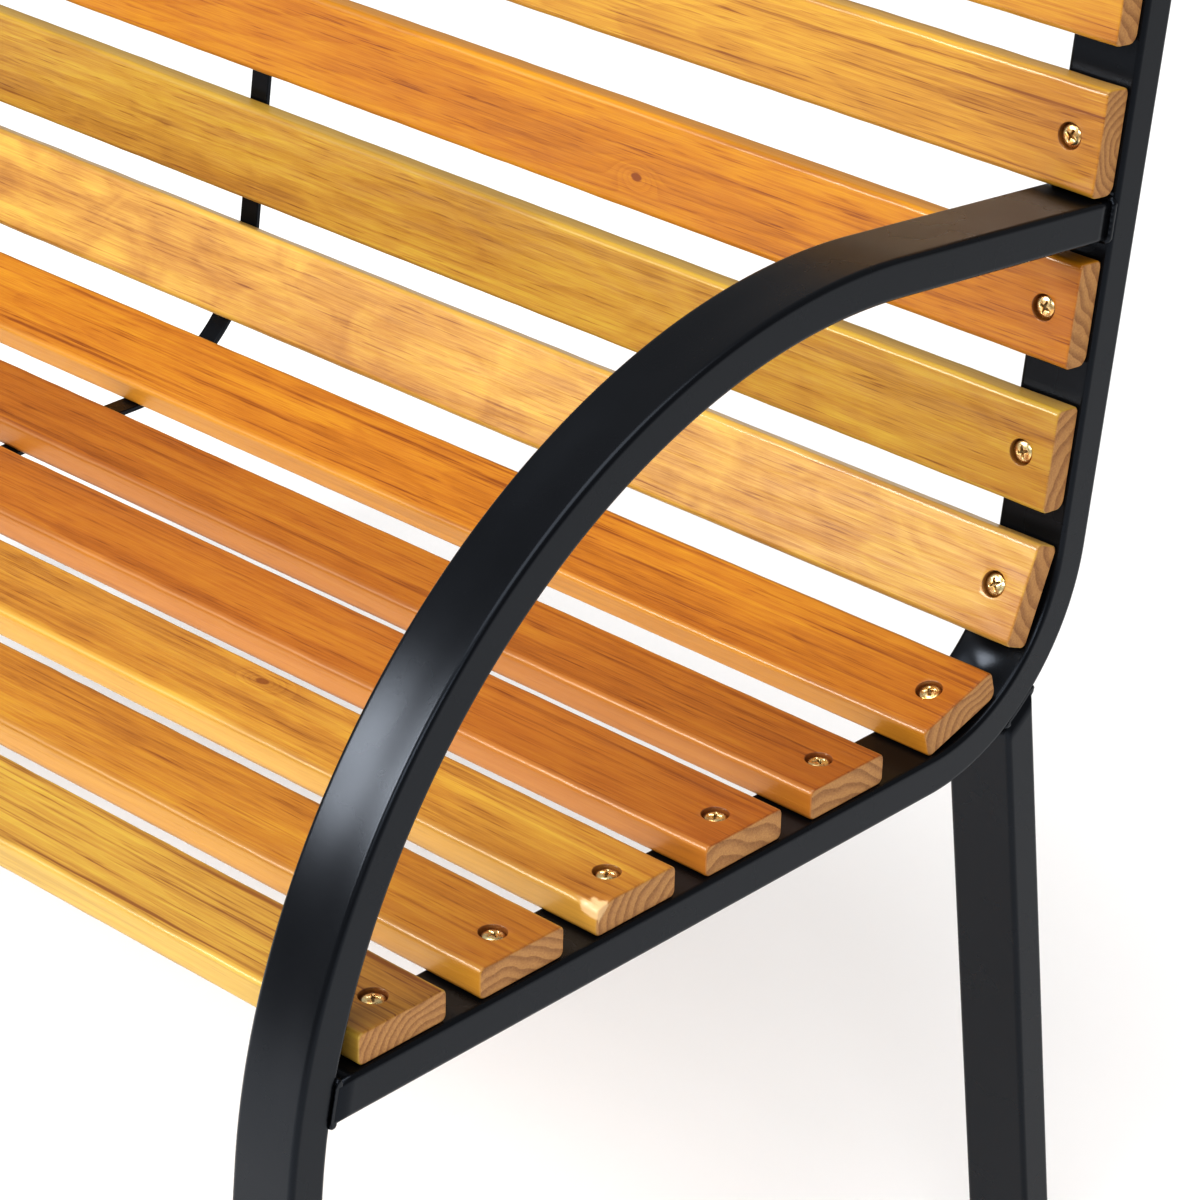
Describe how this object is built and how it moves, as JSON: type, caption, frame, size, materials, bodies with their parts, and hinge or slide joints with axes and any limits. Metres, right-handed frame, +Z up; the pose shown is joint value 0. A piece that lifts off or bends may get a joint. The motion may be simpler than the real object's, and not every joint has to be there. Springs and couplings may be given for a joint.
{
  "type": "garden bench",
  "caption": "Outdoor bench of varnished wooden slats screwed to two bent black steel tube end frames with hoop arms, splayed legs and a centre strap",
  "frame": {"origin": "centre of the bench's footprint, on the floor under the feet", "axes": "+X along the bench towards the end that is on the right of someone facing its front, +Y from the front edge of the seat towards the back, +Z up"},
  "size_m": [1.1362, 0.6272, 0.7814],
  "materials": {
    "powder_coat": "satin black powder coat on bent steel tube",
    "seat_wood": "honey-brown varnished softwood, satin to gloss",
    "back_wood": "golden varnished softwood, satin to gloss",
    "strap_coat": "satin black powder coat on flat steel bar",
    "yellow_zinc": "yellow passivated zinc plate on pan head screws",
    "bright_zinc": "bright zinc plate",
    "black_zinc": "black passivated zinc plate",
    "black_plastic": "moulded black polyethylene"
  },
  "bodies": {
    "root": {"seat_back_rail_right": "powder_coat", "seat_back_rail_left": "powder_coat", "arm_front_leg_right": "powder_coat", "arm_front_leg_left": "powder_coat", "rear_leg_right": "powder_coat", "rear_leg_left": "powder_coat", "seat_slat_1": "seat_wood", "seat_slat_2": "seat_wood", "seat_slat_3": "seat_wood", "seat_slat_4": "seat_wood", "seat_slat_5": "seat_wood", "seat_slat_6": "seat_wood", "back_slat_1": "back_wood", "back_slat_2": "back_wood", "back_slat_3": "back_wood", "back_slat_4": "back_wood", "back_slat_5": "back_wood", "centre_strap": "strap_coat", "slat_screws_right": "yellow_zinc", "slat_screws_left": "yellow_zinc", "slat_washers_right": "bright_zinc", "slat_washers_left": "bright_zinc", "slat_nuts_right": "bright_zinc", "slat_nuts_left": "bright_zinc", "strap_screws": "black_zinc", "front_foot_right": "black_plastic", "front_foot_left": "black_plastic", "rear_foot_right": "black_plastic", "rear_foot_left": "black_plastic", "top_cap_right": "black_plastic", "top_cap_left": "black_plastic"}
  },
  "joints": []
}
